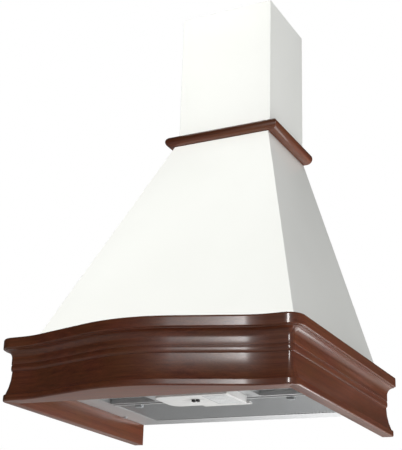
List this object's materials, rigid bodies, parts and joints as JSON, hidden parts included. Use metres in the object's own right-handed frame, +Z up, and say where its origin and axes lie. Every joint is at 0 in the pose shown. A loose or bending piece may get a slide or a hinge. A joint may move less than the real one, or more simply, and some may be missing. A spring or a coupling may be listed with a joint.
{
  "type": "wall range hood with wooden cornice",
  "caption": "Wall-hung range hood: tapered enamelled steel canopy and telescopic duct cover, framed by a bowed stained-wood cornice and a half-round wooden collar.",
  "frame": {"origin": "middle of the hood's footprint, level with the flat underside of the wooden frame", "axes": "+X to the viewer's right, +Y towards the wall, -Y faces the room, +Z up along the duct cover"},
  "size_m": [0.6, 0.5689, 0.934],
  "materials": {
    "stained_wood": "satin lacquer over a dark reddish-brown stain",
    "plain_beech": "bare turned dowel",
    "cream_enamel": "smooth baked enamel",
    "zinc_sheet": "zinc-coated sheet",
    "satin_steel": "satin steel sheet",
    "filter_mesh": "layers of expanded mesh",
    "screw_steel": "zinc-plated",
    "grey_latch_plastic": "moulded",
    "white_plastic": "moulded, half gloss",
    "black_plastic": "moulded",
    "lens_plastic": "ribbed translucent moulding",
    "bulb_glass": "frosted",
    "holder_plastic": "moulded",
    "blower_plastic": "moulded",
    "impeller_plastic": "moulded",
    "grille_wire": "dipped wire",
    "seal_rubber": "soft foam and rubber",
    "motor_alloy": "cast",
    "bearing_steel": "ground",
    "flap_alloy": "thin sheet",
    "box_plastic": "moulded"
  },
  "bodies": {
    "hood": {"front_moulding": "stained_wood", "left_side_moulding": "stained_wood", "right_side_moulding": "stained_wood", "collar_front": "stained_wood", "collar_left": "stained_wood", "collar_right": "stained_wood", "mitre_dowels": "plain_beech", "canopy_shell": "cream_enamel", "lower_duct_cover": "cream_enamel", "canopy_back_panel": "zinc_sheet", "canopy_top_plate": "zinc_sheet", "lamp_bracket": "zinc_sheet", "outlet_spigot": "zinc_sheet", "underside_panel": "satin_steel", "frame_screws": "screw_steel", "collar_screws": "screw_steel", "panel_screws": "screw_steel", "blower_screws": "screw_steel", "motor_screws": "screw_steel", "control_housing": "white_plastic", "switch_block": "black_plastic", "cable_gland": "black_plastic", "lamp_lens": "lens_plastic", "lamp_bulb": "bulb_glass", "lamp_holder": "holder_plastic", "fan_housing_left": "blower_plastic", "fan_housing_right": "blower_plastic", "inlet_grille": "grille_wire", "outlet_gasket": "seal_rubber", "motor_grommets": "seal_rubber", "motor_body": "motor_alloy", "motor_bearings": "bearing_steel", "flap_spindle": "bearing_steel", "terminal_box": "box_plastic", "terminal_box_lid": "box_plastic", "terminal_strip": "box_plastic", "capacitor": "box_plastic"},
    "upper_cover": {"upper_duct_cover": "cream_enamel", "cover_bracket": "zinc_sheet"},
    "filter": {"filter_frame": "satin_steel", "filter_face": "satin_steel", "filter_core": "filter_mesh"},
    "latch_left": {"filter_latch_left": "grey_latch_plastic"},
    "latch_right": {"filter_latch_right": "grey_latch_plastic"},
    "speed_slider": {"speed_knob": "black_plastic"},
    "light_slider": {"light_knob": "black_plastic"},
    "rotor": {"impeller": "impeller_plastic", "motor_shaft": "bearing_steel"},
    "flap_left": {"damper_flap_left": "flap_alloy"},
    "flap_right": {"damper_flap_right": "flap_alloy"}
  },
  "joints": [
    {"name": "upper_cover_slide", "type": "slide", "parent": "hood", "child": "upper_cover", "axis": [0, 0, 1], "range_m": [0, 0.24]},
    {"name": "filter_hinge", "type": "hinge", "parent": "hood", "child": "filter", "pos_m": [0, 0.24, 0.0465], "axis": [1, 0, 0], "range_deg": [0, 60]},
    {"name": "latch_left_slide", "type": "slide", "parent": "filter", "child": "latch_left", "axis": [0, 1, 0], "range_m": [0, 0.008], "stiffness_N_per_m": 120, "springref_m": -0.004},
    {"name": "latch_right_slide", "type": "slide", "parent": "filter", "child": "latch_right", "axis": [0, 1, 0], "range_m": [0, 0.008], "stiffness_N_per_m": 120, "springref_m": -0.004},
    {"name": "speed_slide", "type": "slide", "parent": "hood", "child": "speed_slider", "axis": [-1, 0, 0], "range_m": [0, 0.024]},
    {"name": "light_slide", "type": "slide", "parent": "hood", "child": "light_slider", "axis": [1, 0, 0], "range_m": [0, 0.012]},
    {"name": "impeller_spin", "type": "hinge", "parent": "hood", "child": "rotor", "pos_m": [0, 0.11278, 0.43], "axis": [1, 0, 0], "continuous": true},
    {"name": "flap_left_hinge", "type": "hinge", "parent": "hood", "child": "flap_left", "pos_m": [0, 0.1895, 0.6238], "axis": [0, 1, 0], "range_deg": [0, 75]},
    {"name": "flap_right_hinge", "type": "hinge", "parent": "hood", "child": "flap_right", "pos_m": [0, 0.1895, 0.6238], "axis": [0, -1, 0], "range_deg": [0, 75]}
  ]
}
